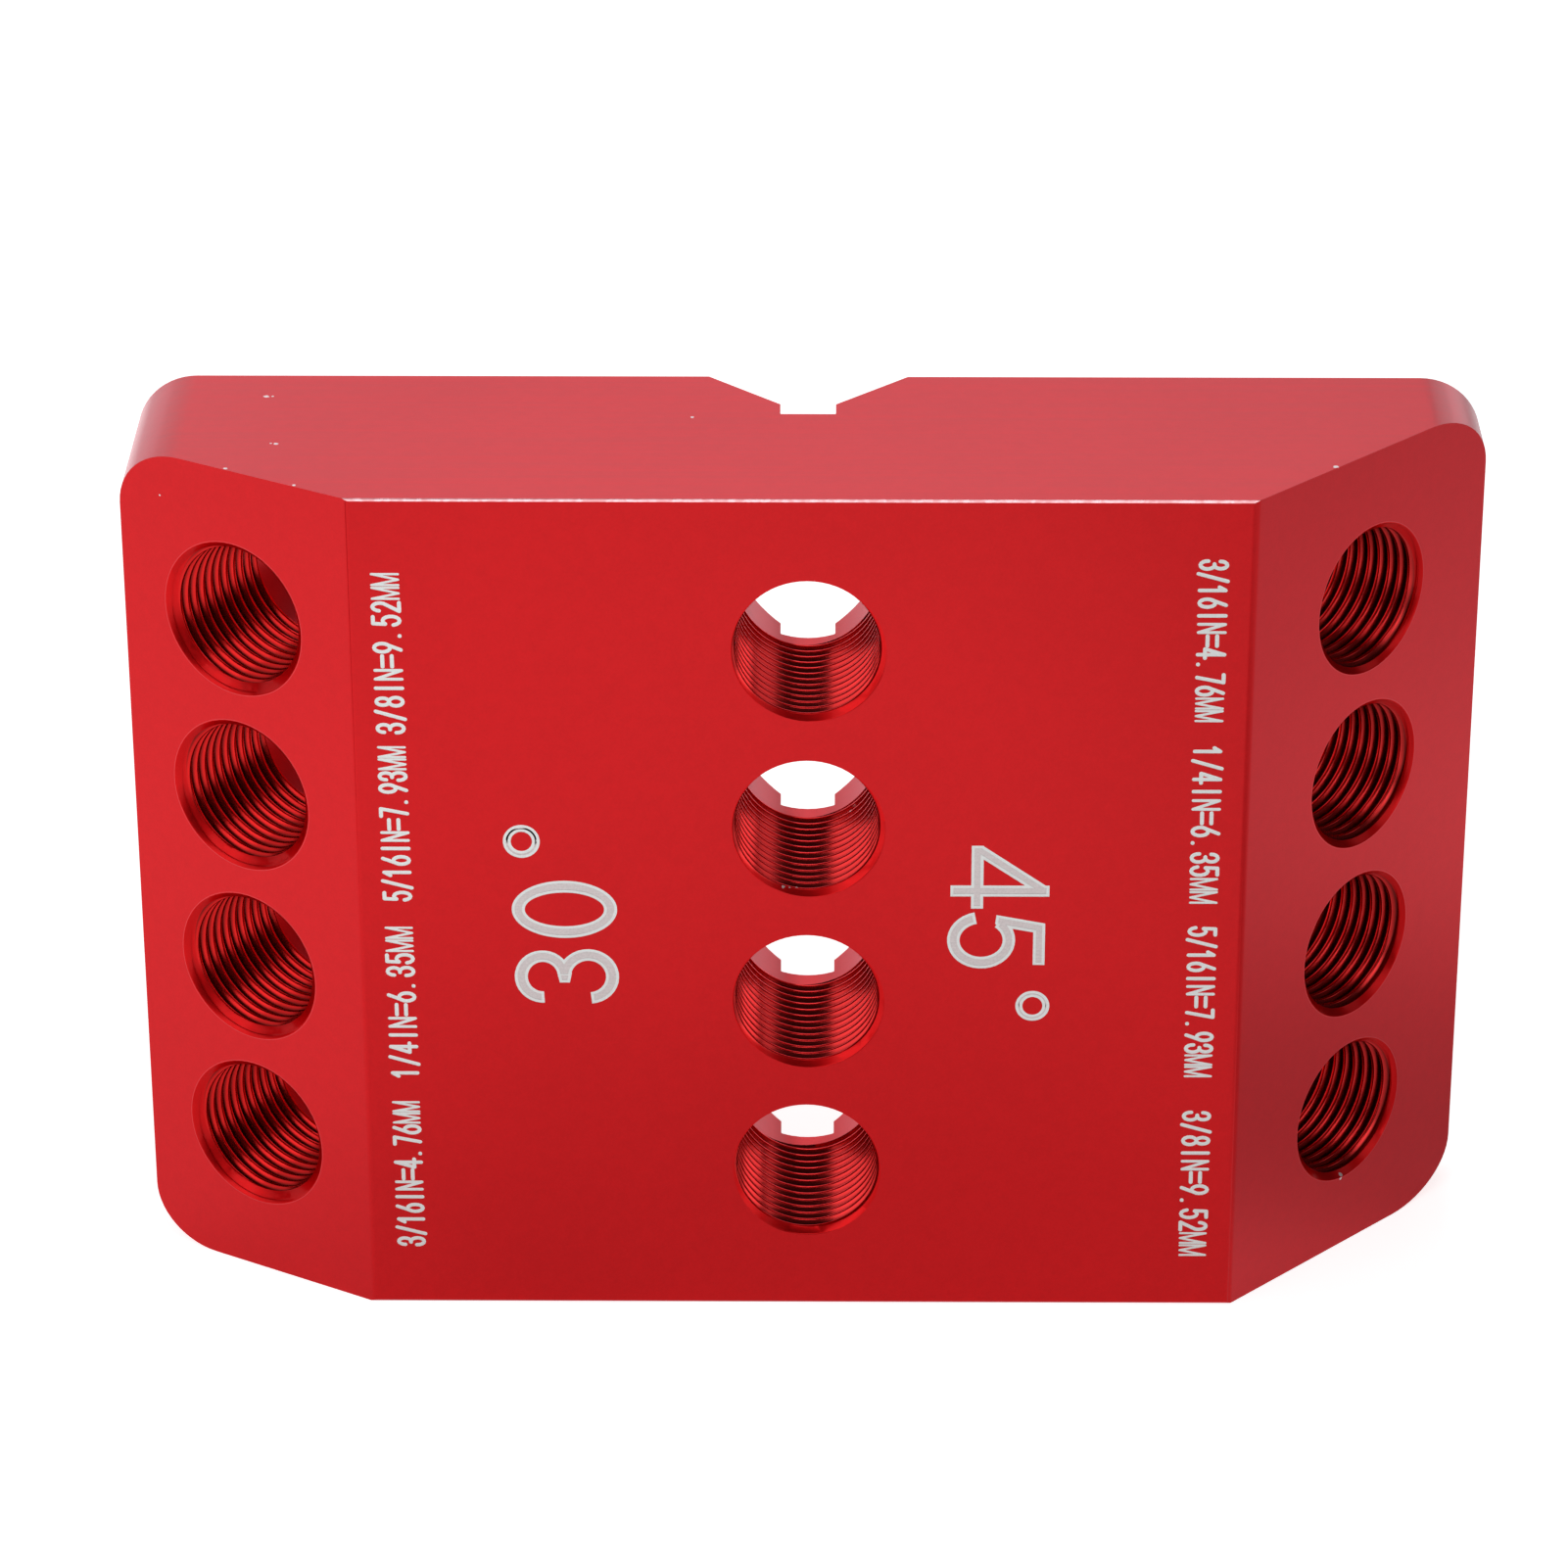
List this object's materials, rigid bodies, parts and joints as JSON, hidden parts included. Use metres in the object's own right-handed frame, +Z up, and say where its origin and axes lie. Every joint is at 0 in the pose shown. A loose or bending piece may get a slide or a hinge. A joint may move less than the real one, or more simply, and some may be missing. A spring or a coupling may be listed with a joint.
{
  "type": "drill guide",
  "caption": "Angled drill guide block with threaded bushing holes at 90, 30 and 45 degrees and a vee groove in its working face for centring on round stock.",
  "frame": {"origin": "bottom centre of the block's box, as it stands on its lower end", "axes": "+X from the 30 degree slope to the 45 degree slope, +Y from the marked front face to the grooved working face, +Z up along the groove"},
  "size_m": [0.13, 0.03, 0.086],
  "materials": {
    "anodised_red": "satin red anodised, fine bead-blasted"
  },
  "bodies": {
    "root": {"guide_block": "anodised_red"}
  },
  "joints": []
}
